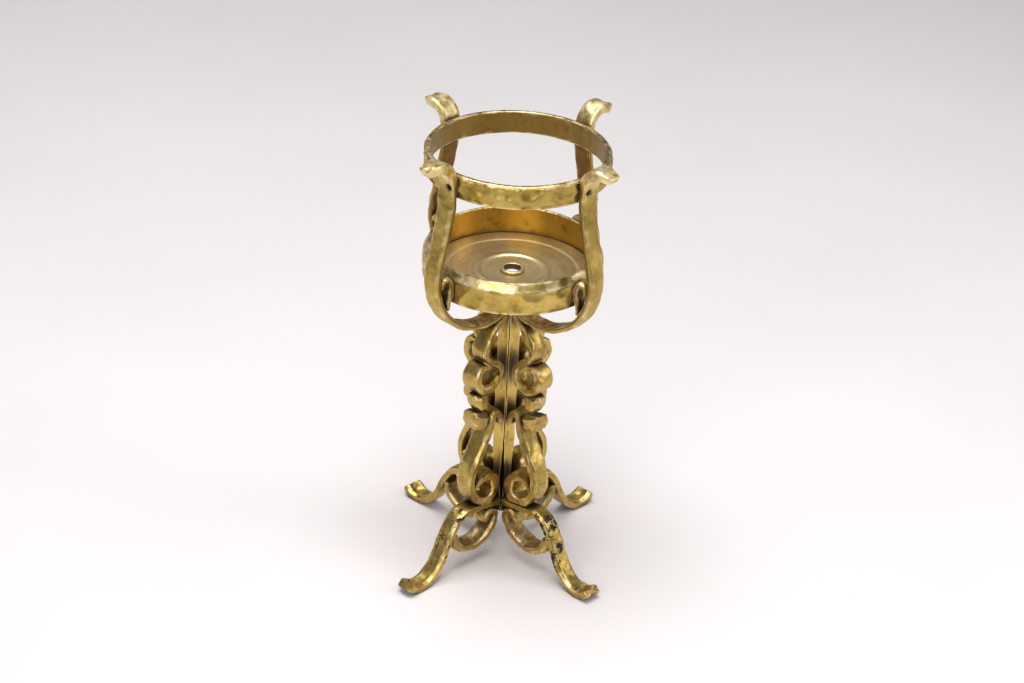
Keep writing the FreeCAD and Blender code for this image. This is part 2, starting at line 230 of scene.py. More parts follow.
def new_mesh(name, vertices, faces, body, nodes, material, attributes, smooth=38):
    """A piece from points in mm, riding a body in its CAD nodes' place; smooth is an angle in degrees."""
    mesh = bpy.data.meshes.new(name)
    mesh.from_pydata([tuple(v) for v in vertices * MM], [], faces)
    for key, values in attributes.items():
        layer = mesh.attributes.new(key, "FLOAT", "POINT")
        layer.data.foreach_set("value", np.asarray(values, np.float32))
    shape = bmesh.new()
    shape.from_mesh(mesh)
    bmesh.ops.recalc_face_normals(shape, faces=shape.faces)
    shape.to_mesh(mesh)
    shape.free()
    mesh.shade_smooth()
    mesh.set_sharp_from_angle(angle=math.radians(smooth))
    mesh.materials.append(material)
    piece = bpy.data.objects.new(name, mesh)
    bpy.context.scene.collection.objects.link(piece)
    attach(piece, body)
    if nodes:
        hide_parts(*nodes)
    return piece


def bar_outline(width, thickness, bevel, inner_bevel):
    """A flat bar's outline, with its show side at the top; a bevel is (across, down)."""
    w, t = width / 2, thickness / 2
    bw, bt = bevel
    iw, it = inner_bevel
    corners = [(-w + iw, -t), (w - iw, -t), (w, -t + it), (w, t - bt),
               (w - bw, t), (-w + bw, t), (-w, t - bt), (-w, -t + it)]
    return ring_outline(corners, OUTLINE_STEP)


def dish_sink(across, on_show_face, fraction, flat_width, start, hollow):
    """How far a show face sinks where the bar's end is beaten into a dish, from a fraction of its length."""
    span = np.clip((fraction - start) / (1 - start), 0, 1)[:, None]
    middle = np.clip(1 - (2 * np.abs(across) / flat_width) ** 2, 0, 1)
    return np.where(on_show_face, hollow * middle * np.sin(span * math.pi * 0.8), 0).reshape(-1)


def bar(name, azimuth, points, widths, thicknesses, material, finish, nodes, outer=1, face=2.0,
        bevel=(1.5, 1.0), inner_bevel=(1.0, 0.8), mark=6.0, depth=0.3, plane=((0, 0.4), (1, 0.4)),
        plane_size=8.0, seed=1, step=0.8, dish=None, pit=None):
    """A hammered flat bar swept along a route in a bracket's plane.

    widths, thicknesses and plane (the facets' height) are (fraction of the length, mm) lists.  outer is 1
    where the show side is on the left of the route and -1 where it is on the right, and face is the show
    side's height over it.  dish is (start, hollow) and pit is (height, offset, radius, depth).
    """
    line, heads, s = route_line(points, step)
    f = s / s[-1]
    wide, thick = np.interp(f, *zip(*widths)), np.interp(f, *zip(*thicknesses))
    width, thickness = wide.max(), thick.max()
    radial, across = bracket_axes(azimuth)
    side = np.stack([-heads[:, 1], heads[:, 0]], axis=1) * outer
    ring, normals, edge = bar_outline(width, thickness, bevel, inner_bevel)
    rows, cols = len(line), len(ring)

    cut = np.clip(np.minimum(s, s[-1] - s) / CUT_END, 0, 1)
    shrink = CUT_END_SIZE + (1 - CUT_END_SIZE) * np.sqrt(cut)
    v = ring[None, :, 0] * (wide / width * shrink)[:, None]
    u = ring[None, :, 1] * (thick / thickness * shrink)[:, None] + (face - thick / 2)[:, None]
    flat = line[:, None, :] + side[:, None, :] * u[:, :, None]
    place = (flat[:, :, 0, None] * radial + flat[:, :, 1, None] * UP + v[:, :, None] * across).reshape(-1, 3)
    turned = side[:, None, :] * normals[None, :, 1, None]
    sideways = normals[None, :, 0, None] * np.ones((rows, 1, 1))
    normal = (turned[:, :, 0, None] * radial + turned[:, :, 1, None] * UP + sideways * across).reshape(-1, 3)

    marks, fine = dents(place, mark, seed), dents(place, mark * 0.55, seed + 20)
    planes = np.repeat(np.interp(f, *zip(*plane)), cols) * facets(place, plane_size, seed + 7)
    push = depth * (marks - 0.55) + 0.35 * depth * (fine - 0.5) + planes
    show = np.tile(ring[:, 1] > 0, rows)
    push = np.where(show, push, push * 0.8)
    if dish:
        on_show_face = ring[None, :, 1] > thickness / 2 - 0.05
        push = push - dish_sink(ring[None, :, 0], on_show_face, f, width - 2 * bevel[0], *dish)
    holes = np.zeros(rows * cols)
    if pit:
        height, offset, radius, sunk = pit
        spot = radial * np.interp(height, line[:, 1], line[:, 0]) + UP * height + across * offset
        gap = np.linalg.norm(place - spot - normal * face, axis=1)
        holes = np.where(show, np.clip((radius + 0.5 - gap) / 0.6, 0, 1), 0)
        push = push - sunk * holes
    push *= np.repeat(np.clip(s / CALM_START, 0.2, 1), cols)
    place = place + normal * push[:, None]
    place[:, 2] = np.maximum(place[:, 2], CLEAR_OF_FLOOR)

    first, last = rows * cols, rows * cols + 1
    final_row = (rows - 1) * cols
    faces = grid_faces(rows, cols)
    for j in range(cols):
        k = (j + 1) % cols
        faces.append((k, j, first))
        faces.append((final_row + j, final_row + k, last))
    vertices = np.vstack([place, place[:cols].mean(axis=0), place[final_row:].mean(axis=0)])
    # Painted highlight: faces that point upwards grow paler, on top of the real wear at edges and on hammer
    # ridges.
    top_highlight = np.clip(normal[:, 2], 0, 1) * np.where(show, 0.25, 0.7)
    wear_and_highlight = np.clip(np.tile(edge, rows) * 0.7 + (marks - 0.5) * 0.6 + top_highlight, 0, 1)
    attributes = {"wear_and_highlight": np.r_[wear_and_highlight, 0.5, 0.5], "along": np.r_[np.repeat(f, cols), 0, 1],
                  "show": np.r_[show.astype(float), 0.5, 0.5], "hole": np.r_[holes, 0, 0]}
    return new_mesh(name, vertices, faces, "stand", nodes, material, attributes)


def turned_part(name, outline, body, nodes, material, mark=8.0, depth=0.0, depth_inside=0.0,
                wave=0.0, seed=1, turns=400, step=0.9, smooth=38, bore_shade=0.0, upward_highlight=0.0):
    """A revolved part with a hammered outer wall; its outline is (radius, height), anticlockwise.

    Of the last two arguments, the first paints shade on the wall that faces the axis and the second paints a
    highlight on the upward faces.
    """
    ring, normals, edge = ring_outline(outline, step)
    angle = np.linspace(0, 2 * math.pi, turns, endpoint=False)
    cos, sin, one = np.cos(angle)[:, None], np.sin(angle)[:, None], np.ones((turns, 1))

    def spin(pairs):
        return np.stack([cos * pairs[:, 0], sin * pairs[:, 0], one * pairs[:, 1]], axis=2).reshape(-1, 3)

    place, normal = spin(ring), spin(normals)
    outward, upward = np.tile(normals[:, 0], turns), np.tile(normals[:, 1], turns)
    outer_wall = (outward > 0.3) & (np.abs(upward) < 0.2)
    amount = np.where(outer_wall, depth, depth_inside)
    marks = dents(place, mark, seed)
    push = amount * (marks - 0.7) + wave * lumps(place, 16.0, seed + 5)
    # Painted highlight on the upward faces, over the real wear at edges and hammer marks.
    wear_and_highlight = np.tile(edge, turns) * 0.9 + (marks - 0.5) * 0.8 * (amount > 0) + upward_highlight * (upward > 0.3)
    # The wall that faces the axis takes painted shade through the hole attribute.
    attributes = {"wear_and_highlight": np.clip(wear_and_highlight, 0, 1), "along": np.zeros(len(place)),
                  "show": (outward > 0.3).astype(float), "hole": (outward < -0.7) * bore_shade}
    return new_mesh(name, place + normal * push[:, None], grid_faces(turns, len(ring), closed=True), body,
                    nodes, material, attributes, smooth)


# ---- materials --------------------------------------------------------------------------------

class Nodes:
    """Short calls for building one material's nodes."""

    def __init__(self, name):
        self.material = bpy.data.materials.new(name)
        self.material.use_nodes = True
        self.tree = self.material.node_tree
        self.tree.nodes.clear()
        self.out = self.add("ShaderNodeOutputMaterial")
        self.shader = self.add("ShaderNodeBsdfPrincipled")
        self.link(self.shader.outputs[0], self.out.inputs["Surface"])
        self.place = self.add("ShaderNodeTexCoord").outputs["Object"]

    def add(self, kind, **settings):
        """A new node with its settings."""
        node = self.tree.nodes.new(kind)
        for key, value in settings.items():
            setattr(node, key, value)
        return node

    def link(self, source, socket):
        self.tree.links.new(source, socket)

    def feed(self, socket, value):
        """Links an output to a socket, or sets the socket to a number."""
        if hasattr(value, "is_linked"):
            self.link(value, socket)
        else:
            socket.default_value = value

    def noise(self, size_mm, detail=4.0, rough=0.6, stretch=(1, 1, 1), offset=0.0):
        """Cloudy noise whose features are about one size; offset moves it to another place."""
        mapping = self.add("ShaderNodeMapping")
        self.link(self.place, mapping.inputs["Vector"])
        mapping.inputs["Scale"].default_value = stretch
        mapping.inputs["Location"].default_value = (offset, offset * 0.7, offset * 1.3)
        node = self.add("ShaderNodeTexNoise")
        self.link(mapping.outputs[0], node.inputs["Vector"])
        node.inputs["Scale"].default_value = 1000.0 / size_mm
        node.inputs["Detail"].default_value = detail
        node.inputs["Roughness"].default_value = rough
        return node.outputs["Fac"]

    def spots(self, size_mm, offset=0.0):
        """The distance to the nearest of many scattered points, in units of their spacing."""
        mapping = self.add("ShaderNodeMapping")
        self.link(self.place, mapping.inputs["Vector"])
        mapping.inputs["Location"].default_value = (offset, offset, offset)
        node = self.add("ShaderNodeTexVoronoi")
        self.link(mapping.outputs[0], node.inputs["Vector"])
        node.inputs["Scale"].default_value = 1000.0 / size_mm
        return node.outputs["Distance"]

    def math(self, kind, a, b=0.0, clamp=False):
        node = self.add("ShaderNodeMath", operation=kind, use_clamp=clamp)
        self.feed(node.inputs[0], a)
        self.feed(node.inputs[1], b)
        return node.outputs[0]

    def span(self, value, low, high, to_low=0.0, to_high=1.0):
        """A value's place from low to high, held to that range, as a number from to_low to to_high."""
        node = self.add("ShaderNodeMapRange")
        node.clamp = True
        self.feed(node.inputs["Value"], value)
        for key, number in (("From Min", low), ("From Max", high), ("To Min", to_low), ("To Max", to_high)):
            self.feed(node.inputs[key], number)
        return node.outputs["Result"]

    def mix(self, factor, a, b):
        """Colour a where the factor is 0 and colour b where it is 1."""
        node = self.add("ShaderNodeMix", data_type="RGBA")
        self.feed(node.inputs["Factor"], factor)
        for socket, value in ((node.inputs[6], a), (node.inputs[7], b)):
            self.feed(socket, value if hasattr(value, "is_linked") else (*value, 1.0))
        return node.outputs[2]

    def attribute(self, name):
        return self.add("ShaderNodeAttribute", attribute_name=name).outputs["Fac"]

    def hollow(self, reach_mm):
        """1 in tight corners, 0 on open faces."""
        node = self.add("ShaderNodeAmbientOcclusion", samples=6)
        node.inputs["Distance"].default_value = reach_mm * MM
        return self.math("SUBTRACT", 1.0, node.outputs["AO"])

    def bump(self, height, strength, reach_mm):
        """Fine relief in the shader's normal."""
        node = self.add("ShaderNodeBump")
        self.feed(node.inputs["Height"], height)
        node.inputs["Strength"].default_value = strength
        node.inputs["Distance"].default_value = reach_mm * MM
        self.link(node.outputs[0], self.shader.inputs["Normal"])

    def finish(self, colour, metal, rough):
        """Feeds the shader and returns the material."""
        self.feed(self.shader.inputs["Base Color"], colour)
        self.feed(self.shader.inputs["Metallic"], metal)
        self.feed(self.shader.inputs["Roughness"], rough)
        return self.material


# The second colour is bare iron at chips and pits, and painted shade on the column's hidden inner faces.
BROWN_STAIN, BARE_IRON_AND_SHADE = (0.20, 0.115, 0.028), (0.016, 0.013, 0.010)


def gilding_colour(n, olive, gold, inner_side_shading, patina, mottle, offset):
    """Mottled gold with fine grain and brown stains, and a painted colour on the bar's inner side: painted
    light on some pieces, painted shade on others.
    """
    tone = n.math("ADD", n.math("MULTIPLY", n.noise(26, 3, 0.55, offset=offset), 0.6),
                  n.math("MULTIPLY", mottle, 0.4))
    grain = n.noise(0.9, 3, 0.7, offset=offset + 2)
    colour = n.mix(n.span(tone, 0.40, 0.60), olive, gold)
    colour = n.mix(n.span(grain, 0.35, 0.75, 0.0, 0.25), colour, tuple(c * 0.6 for c in olive))
    # Painted light and shade: the faces off the show side take the inner colour.
    if inner_side_shading:
        colour = n.mix(n.math("SUBTRACT", 1.0, n.attribute("show"), True), colour, inner_side_shading)
    stain = n.math("ADD", n.math("MULTIPLY", n.noise(13, 3, 0.6, offset=offset + 6), 0.6),
                   n.math("MULTIPLY", n.noise(3.2, 4, 0.7, offset=offset + 7), 0.4))
    return n.mix(n.span(stain, 0.52, 0.64, 0.0, patina), colour, BROWN_STAIN), grain


def chipped_patches(n, amount, zone, offset):
    """1 where the gilding has flaked off in ragged patches, between two fractions of the bar's length."""
    ragged = n.noise(4.2, 6, 0.75, stretch=(1.0, 1.0, 1.5), offset=offset + 4)
    low, high = zone
    along = n.attribute("along")
    near = n.math("MULTIPLY", n.span(along, low - 0.04, low), n.span(along, high + 0.04, high))
    patches = n.span(n.noise(16, 2, 0.5, offset=offset + 5), 0.38, 0.56)
    limit = n.math("MULTIPLY", n.math("MULTIPLY", near, patches), amount)
    return n.span(n.math("SUBTRACT", ragged, n.math("SUBTRACT", 0.74, limit)), 0.0, 0.012)


def gilt(name, olive, gold, pale, hollow_colour=(0.045, 0.028, 0.012), hollow_amount=1.0, reach=9.0, chips=0.0,
         chip_zone=(0.0, 1.0), pit_amount=1.0, rough=(0.30, 0.5), inner_side_shading=None, tip_highlight_from=None, offset=0.0,
         pale_amount=0.9, patina=0.6):
    """Worn gilding over a hammered bar: mottled gold, pale ridges where the gilding wears, brown hollows and
    black pits, with painted highlights on upward faces and ends and painted light and shade on the inner
    side.

    reach is how far in mm the darkening of the hollows looks for a neighbouring surface, and offset moves the
    whole pattern.
    """
    n = Nodes(name)
    mottle = n.noise(5.5, 5, 0.65, offset=offset + 1)
    colour, grain = gilding_colour(n, olive, gold, inner_side_shading, patina, mottle, offset)
    # Painted highlight: from this fraction of the length on, the end of the bar turns pale.
    if tip_highlight_from:
        highlighted_tip = n.span(n.attribute("along"), tip_highlight_from - 0.03, tip_highlight_from + 0.02, 0.0, 0.85)
        colour = n.mix(highlighted_tip, colour, n.mix(n.span(mottle, 0.4, 0.6), gold, pale))
    # Pale where the gilding wears at edges and ridges, and where the painted highlights lie on upward faces.
    rubbed_and_lit = n.math("MULTIPLY", n.span(n.attribute("wear_and_highlight"), 0.35, 0.95), n.span(mottle, 0.35, 0.62), True)
    colour = n.mix(n.math("MULTIPLY", rubbed_and_lit, pale_amount), colour, pale)
    # Darker where the ambient-occlusion node finds a neighbouring surface: in the hollows and between parts.
    deep = n.span(n.math("ADD", n.hollow(reach), n.math("MULTIPLY", mottle, 0.4)), 0.37, 0.74)
    hollow_dark = n.math("MULTIPLY", deep, hollow_amount, True)
    colour = n.mix(hollow_dark, colour, hollow_colour)
    pit_size = n.span(n.noise(14, 2, offset=offset + 3), 0.52, 0.72, 0.0, 0.21 * pit_amount)
    pits = n.math("LESS_THAN", n.spots(3.4, offset), pit_size)
    # The hole attribute paints black: painted shade on the column's hidden inner faces, and the sunk rivet
    # pits.
    marks = n.math("MAXIMUM", pits, n.attribute("hole"))
    if chips:
        marks = n.math("MAXIMUM", marks, chipped_patches(n, chips, chip_zone, offset))
    colour = n.mix(marks, colour, BARE_IRON_AND_SHADE)
    roughness = n.span(mottle, 0.3, 0.7, *rough)
    roughness = n.math("ADD", roughness, n.math("MULTIPLY", hollow_dark, 0.16), True)
    roughness = n.math("ADD", roughness, n.math("MULTIPLY", rubbed_and_lit, 0.08), True)
    roughness = n.math("MAXIMUM", roughness, n.math("MULTIPLY", marks, 0.6))
    metal = n.math("SUBTRACT", 1.0, n.math("MULTIPLY", n.math("MAXIMUM", marks, hollow_dark), 0.45))
    relief = n.math("ADD", n.math("MULTIPLY", mottle, 0.7), n.math("MULTIPLY", grain, 0.25))
    n.bump(n.math("SUBTRACT", relief, n.math("MULTIPLY", marks, 0.5)), 0.35, 0.5)
    return n.finish(colour, metal, roughness)


def turning_rings(n, radius, size_mm, detail):
    """Noise that changes only with the distance from the axis."""
    place = n.add("ShaderNodeCombineXYZ")
    n.link(radius, place.inputs[0])
    node = n.add("ShaderNodeTexNoise")
    n.link(place.outputs[0], node.inputs["Vector"])
    node.inputs["Scale"].default_value = 1000.0 / size_mm
    node.inputs["Detail"].default_value = detail
    return node.outputs["Fac"]


def spun(name):
    """Spun brass: fine turning rings, a satin tan-gold colour and faint stains."""
    n = Nodes(name)
    split = n.add("ShaderNodeSeparateXYZ")
    n.link(n.place, split.inputs[0])
    x, y = split.outputs[0], split.outputs[1]
    radius = n.math("SQRT", n.math("ADD", n.math("MULTIPLY", x, x), n.math("MULTIPLY", y, y)))
    fine, coarse = turning_rings(n, radius, 0.45, 3), turning_rings(n, radius, 3.2, 4)
    blotch, speck = n.noise(20, 4, 0.6), n.noise(1.2, 4, 0.7)
    colour = n.mix(n.span(blotch, 0.36, 0.64), (0.60, 0.46, 0.20), (0.78, 0.62, 0.31))
    colour = n.mix(n.span(coarse, 0.42, 0.62, 0.0, 0.45), colour, (0.80, 0.68, 0.44))
    colour = n.mix(n.span(fine, 0.55, 0.75, 0.0, 0.45), colour, (0.30, 0.20, 0.08))
    stain = n.span(n.math("ADD", speck, n.math("MULTIPLY", blotch, 0.6)), 0.84, 0.98, 0.0, 0.6)
    colour = n.mix(stain, colour, (0.24, 0.16, 0.06))
    wear_and_highlight = n.span(n.attribute("wear_and_highlight"), 0.4, 0.9, 0.0, 0.5)
    colour = n.mix(wear_and_highlight, colour, (0.86, 0.74, 0.48))
    # Darker where the ambient-occlusion node finds a neighbouring surface.
    hollow_dark = n.span(n.math("ADD", n.hollow(4), n.math("MULTIPLY", speck, 0.3)), 0.5, 0.95)
    colour = n.mix(hollow_dark, colour, (0.12, 0.07, 0.025))
    # Painted shade in the eyelet's bore, through the hole attribute.
    colour = n.mix(n.attribute("hole"), colour, (0.05, 0.035, 0.015))
    n.bump(n.math("ADD", n.math("MULTIPLY", fine, 0.6), n.math("MULTIPLY", coarse, 0.8)), 0.3, 0.25)
    return n.finish(colour, n.math("SUBTRACT", 1.0, n.math("MULTIPLY", hollow_dark, 0.4)),
                    n.span(n.math("ADD", blotch, fine), 0.7, 1.3, 0.36, 0.5))


def paper():
    """The plain pale floor: faint clouds and a fibrous surface."""
    n = Nodes("pale_paper")
    cloud, fibre = n.noise(260, 3, 0.5), n.noise(1.6, 3, 0.6)
    colour = n.mix(n.span(cloud, 0.3, 0.7), (0.800, 0.768, 0.772), (0.835, 0.806, 0.810))
    n.bump(fibre, 0.04, 0.2)
    return n.finish(colour, 0.0, n.span(fibre, 0.3, 0.7, 0.85, 0.95))


# ---- the bracket's pieces ---------------------------------------------------------------------

OLIVE, GOLD, PALE = (0.40, 0.275, 0.065), (0.64, 0.46, 0.135), (0.96, 0.81, 0.48)
# A painted shade for the inner side of the curls.
INNER_SHADE = (0.34, 0.205, 0.055)


def bracket_materials(side, number):
    """The gilding of one bracket's pieces; the front legs are the most chipped."""
    shift = 3.7 * number
    front = side.startswith("front")
    # Each inner-side colour here is painted: lighter than the gilding on the scrolls as painted light, darker
    # on the loops, curls and arms as painted shade.
    return {
        "spine": gilt(f"{side}_column_gilt", (0.46, 0.30, 0.055), (0.74, 0.52, 0.13), (0.94, 0.76, 0.36),
                      hollow_amount=1.2, reach=12, offset=shift, rough=(0.26, 0.42)),
        "leg": gilt(f"{side}_leg_gilt", OLIVE, GOLD, PALE, chips=0.235 if front else 0.08,
                    chip_zone=(0.26, 1.0), offset=shift + 0.5, rough=(0.28, 0.46), pale_amount=1.0),
        "scroll": gilt(f"{side}_scroll_gilt", OLIVE, GOLD, PALE, inner_side_shading=(0.54, 0.36, 0.10), reach=9,
                       offset=shift + 1.1, rough=(0.26, 0.44)),
        "loop": gilt(f"{side}_loop_gilt", OLIVE, GOLD, PALE, inner_side_shading=(0.36, 0.22, 0.07), reach=11,
                     offset=shift + 1.5, rough=(0.28, 0.46)),
        "curl": gilt(f"{side}_curl_gilt", OLIVE, GOLD, PALE, inner_side_shading=INNER_SHADE, reach=6, hollow_amount=0.9,
                     offset=shift + 1.7, rough=(0.28, 0.46)),
        # The arm's end carries a painted highlight.
        "arm": gilt(f"{side}_arm_gilt", (0.39, 0.275, 0.062), (0.60, 0.435, 0.12), PALE,
                    inner_side_shading=(0.22, 0.125, 0.03), hollow_amount=1.0, reach=9, offset=shift + 1.9,
                    rough=(0.34, 0.52), tip_highlight_from=0.88, patina=0.4),
    }


LEG = dict(
    points=[(4.8, 39.6), (14, 41.2), (24, 43.0), (35.5, 44.1), (41.2, 41.8), (46.7, 36.2), (51.4, 28.4),
            (56.0, 18.4), (62.8, 8.4), (72, 3.1), (77, 3.0), (82.6, 4.7), (86.2, 7.8)],
    widths=[(0, 11), (0.8, 11.6), (0.9, 13.0), (0.96, 13.4), (1, 12.2)],
    thicknesses=[(0, 5), (0.8, 5), (0.93, 6.8), (1, 6)],
    face=2.6, bevel=(2.2, 1.2), mark=7, depth=0.35, plane=[(0, 0.4), (0.85, 0.4), (1, 0.8)],
    dish=(0.87, 1.7))
LOWER_LOOP = dict(
    points=[(18.4, 28.6), (17.4, 33.8), (13.2, 36.4), (9.2, 33.4), (9.2, 27.8), (12.6, 21.9), (20, 16.0),
            (29.5, 13.4), (38.5, 15.7), (44.9, 20.2), (47.6, 24.6), (47.6, 30.4)],
    widths=[(0, 11), (0.3, 13), (0.8, 13.4), (1, 12)],
    thicknesses=[(0, 4.4), (0.3, 5.4), (0.8, 6.2), (1, 6)],
    outer=-1, face=1.75, bevel=(2.0, 1.2), inner_bevel=(1.6, 1.0), mark=6, depth=0.5,
    plane=[(0, 0.8), (1, 0.8)], plane_size=7)
LOWER_VOLUTE = dict(
    points=[(9.6, 103.2), (10.3, 110.0), (13.6, 113.4), (17.2, 111.8), (18.6, 107.0), (19.9, 101.6),
            (22.8, 94.8), (27.2, 86.6), (32, 77.9), (34.9, 68.9), (34.5, 60.3), (30.6, 52.4), (23.7, 47.3),
            (16.4, 47.2), (11.6, 51.7), (10.8, 59.0), (14.6, 65.8), (21.2, 67.6), (27.2, 65.4), (30.8, 60.8)],
    widths=[(0, 12), (0.1, 13.2), (0.5, 13.4), (0.75, 14.4), (1, 13)],
    thicknesses=[(0, 4.2), (0.1, 5), (0.55, 5), (0.7, 6.6), (0.82, 7.4), (0.93, 5.0), (1, 3.0)],
    face=1.75, bevel=(1.8, 1.1), mark=8, depth=0.45,
    plane=[(0, 0.5), (0.5, 0.5), (0.7, 1.1), (1, 1.1)], plane_size=7.5)
COLLAR = dict(
    points=[(20.8, 109.0), (24, 110.0), (28, 111.8), (31.6, 113.2), (33.8, 113.8)],
    widths=[(0, 11), (0.3, 13.4), (0.8, 13.8), (1, 11)],
    thicknesses=[(0, 8), (0.3, 11.5), (0.7, 11.5), (1, 7.5)],
    face=4.6, bevel=(2.6, 2.2), inner_bevel=(2.0, 1.8), mark=7, depth=0.4,
    plane=[(0, 0.9), (1, 0.9)], plane_size=9, step=0.6)
BEAD = dict(
    points=[(21.0, 125.2), (23.4, 125.2), (26.2, 125.2), (29, 125.1), (31.5, 124.8)],
    widths=[(0, 9.4), (0.25, 12.3), (0.75, 12.5), (1, 9.8)],
    thicknesses=[(0, 9), (0.25, 13.0), (0.75, 13.2), (1, 9)],
    face=6.3, bevel=(3.0, 2.8), inner_bevel=(2.8, 2.6), mark=9, depth=0.4,
    plane=[(0, 0.4), (1, 0.4)], plane_size=8, step=0.6)
UPPER_SCROLL = dict(
    points=[(7.6, 183.8), (13, 179.6), (18.6, 174.4), (23.3, 168.2), (26.1, 161.8), (24.9, 156.8),
            (20.8, 153.4), (15.8, 150.2), (12.6, 146.2), (12.7, 141.0), (16.0, 136.7), (21.2, 134.5),
            (26.6, 135.5), (30.2, 139.6), (31.0, 145.0), (30.0, 149.2), (26.6, 151.4), (22.6, 150.2)],
    widths=[(0, 11), (0.3, 13), (0.7, 13), (0.85, 13.4), (1, 12)],
    thicknesses=[(0, 4), (0.5, 4.4), (0.7, 5.6), (0.84, 6.0), (0.94, 4.4), (1, 2.6)],
    bevel=(1.7, 1.1), inner_bevel=(1.2, 0.9), mark=7, depth=0.45,
    plane=[(0, 0.5), (0.4, 0.5), (0.6, 1.2), (1, 1.2)], plane_size=7.5)
ARM = dict(
    points=[(7.3, 193.0), (9.9, 187.2), (15, 184.4), (21, 183.2), (28, 183.0), (36, 184.3), (44, 187.2),
            (52, 191.9), (59, 198.0), (65, 206.1), (69, 215.7), (70.8, 225.8), (69.8, 236), (67.2, 246.2),
            (64.8, 256.4), (62.6, 266.6), (60.6, 279), (60.6, 292), (62.4, 298.0), (66.8, 302.2),
            (72.6, 303.4), (78.8, 301.4)],
    widths=[(0, 9.6), (0.1, 10.8), (0.55, 11.4), (0.78, 13), (0.9, 13.4), (0.96, 13), (1, 9.6)],
    thicknesses=[(0, 3.6), (0.15, 4.4), (0.85, 4.4), (0.93, 6.4), (1, 6)],
    outer=-1, face=2.2, bevel=(1.6, 0.9), inner_bevel=(1.2, 0.9), mark=7.5, depth=0.35,
    plane=[(0, 0.45), (0.85, 0.45), (1, 1.1)])
ARM_CURL = dict(
    points=[(60.9, 204.6), (60.0, 211.0), (58.8, 217.8), (58.9, 222.6), (61.8, 227.2), (66.0, 226.4),
            (66.8, 221.4)],
    widths=[(0, 10), (0.5, 12.4), (1, 11)],
    thicknesses=[(0, 3.4), (0.4, 4.4), (1, 3.6)],
    face=1.5, bevel=(1.6, 1.0), inner_bevel=(1.2, 0.8), mark=6, depth=0.4,
    plane=[(0, 0.8), (1, 0.8)], plane_size=7)
# Each piece's shape, its gilding and its material slot.
STRIPS = {
    "leg": (LEG, "leg", "leg_gilt"),
    "lower_loop": (LOWER_LOOP, "loop", "scroll_gilt"),
    "lower_volute": (LOWER_VOLUTE, "scroll", "scroll_gilt"),
    "collar": (COLLAR, "scroll", "scroll_gilt"),
    "bead": (BEAD, "scroll", "scroll_gilt"),
    "upper_scroll": (UPPER_SCROLL, "scroll", "scroll_gilt"),
    "arm": (ARM, "arm", "arm_gilt"),
    "arm_curl": (ARM_CURL, "curl", "scroll_gilt"),
}


def bracket(side, azimuth, number):
    """All of one bracket's bars; its seed gives it hammer marks of its own."""
    looks = bracket_materials(side, number)
    seed = 100 * (number + 1)
    for piece, (shape, look, slot) in STRIPS.items():
        rivet_offset = -2.2 if number % 2 else 2.2
        pit = (RIVET_HEIGHT, rivet_offset, 1.9, 1.3) if piece == "arm" else None
        bar(f"{side}_{piece}_metal", azimuth, material=looks[look], finish=slot, nodes=(f"{side}_{piece}",),
            seed=seed + len(piece), pit=pit, **shape)
    spine_bar(side, azimuth, looks["spine"], seed)


def spine_bar(side, azimuth, material, seed):
    """A bar of the square column; its edges wander, so that the seams open and close."""
    z = np.linspace(COLUMN_FOOT, COLUMN_TOP, 190)
    radial, across = bracket_axes(azimuth)
    seam = (SEAM + SEAM_WANDER * lumps(np.outer(z, UP), 22, seed + 3)
            + SEAM_GAPE * np.exp(-((z - GAPE_HEIGHT) / GAPE_REACH) ** 2))
    outer, inner = COLUMN_HALF, SPINE_INNER
    half = outer - 0.5
    corners = [(outer, -half + 0.3), (outer, half - 0.3), (outer - 0.35, half), (inner, inner + 0.15),
               (inner, -inner - 0.15), (outer - 0.35, -half)]
    ring, ring_normal, edge = ring_outline(corners, 0.9)
    rows, cols = len(z), len(ring)
    outwards = np.clip((ring[:, 0] - inner) / (outer - inner), 0, 1)
    narrow = 1 + ((outer - seam[:, None]) / half - 1) * outwards
    place = (ring[:, :1] * radial + (ring[:, 1] * narrow)[:, :, None] * across
             + (z[:, None] * UP)[:, None, :]).reshape(-1, 3)
    normal = np.tile(ring_normal[:, :1] * radial + ring_normal[:, 1:] * across, (rows, 1))
    marks = dents(place, 9.0, seed)
    place = place + normal * (0.3 * (marks - 0.7) + 0.12 * lumps(place, 12, seed + 9))[:, None]
    faces = grid_faces(rows, cols) + [tuple(range(cols)), tuple(range((rows - 1) * cols, rows * cols))]
    zero = np.zeros(len(place))
    # Painted shade: the hidden inner faces, seen only through the seams, are painted black through the hole
    # attribute.
    inner_side_shading = np.tile(ring[:, 0] < outer - 0.6, rows).astype(float)
    wear_and_highlight = np.clip(np.tile(edge, rows) * 0.6 + (marks - 0.5) * 0.6, 0, 1)
    attributes = {"wear_and_highlight": wear_and_highlight, "along": zero, "show": zero + 1, "hole": inner_side_shading}
    new_mesh(f"{side}_spine_metal", place, faces, "stand", (f"{side}_spine",), material,
             attributes)


for number, (side, azimuth) in enumerate(BRACKETS.items()):
    bracket(side, azimuth, number)


# ---- hoops and pan ----------------------------------------------------------------------------

# The inner walls are painted: painted shade in the upper hoop, painted light in the lower hoop.
hoop_material = gilt("upper_hoop_gilt", (0.38, 0.265, 0.055), (0.56, 0.405, 0.105), PALE,
                     inner_side_shading=(0.27, 0.175, 0.045), hollow_amount=0.6, reach=6, offset=20, rough=(0.3, 0.5),
                     pit_amount=0.4)
cup_material = gilt("lower_hoop_gilt", (0.44, 0.31, 0.07), (0.66, 0.47, 0.12), (0.96, 0.84, 0.54),
                    inner_side_shading=(0.50, 0.30, 0.055), hollow_amount=0.8, reach=7, offset=31, rough=(0.28, 0.44),
                    pit_amount=0.4, pale_amount=1.0)
pan_material = spun("spun_pan_brass")


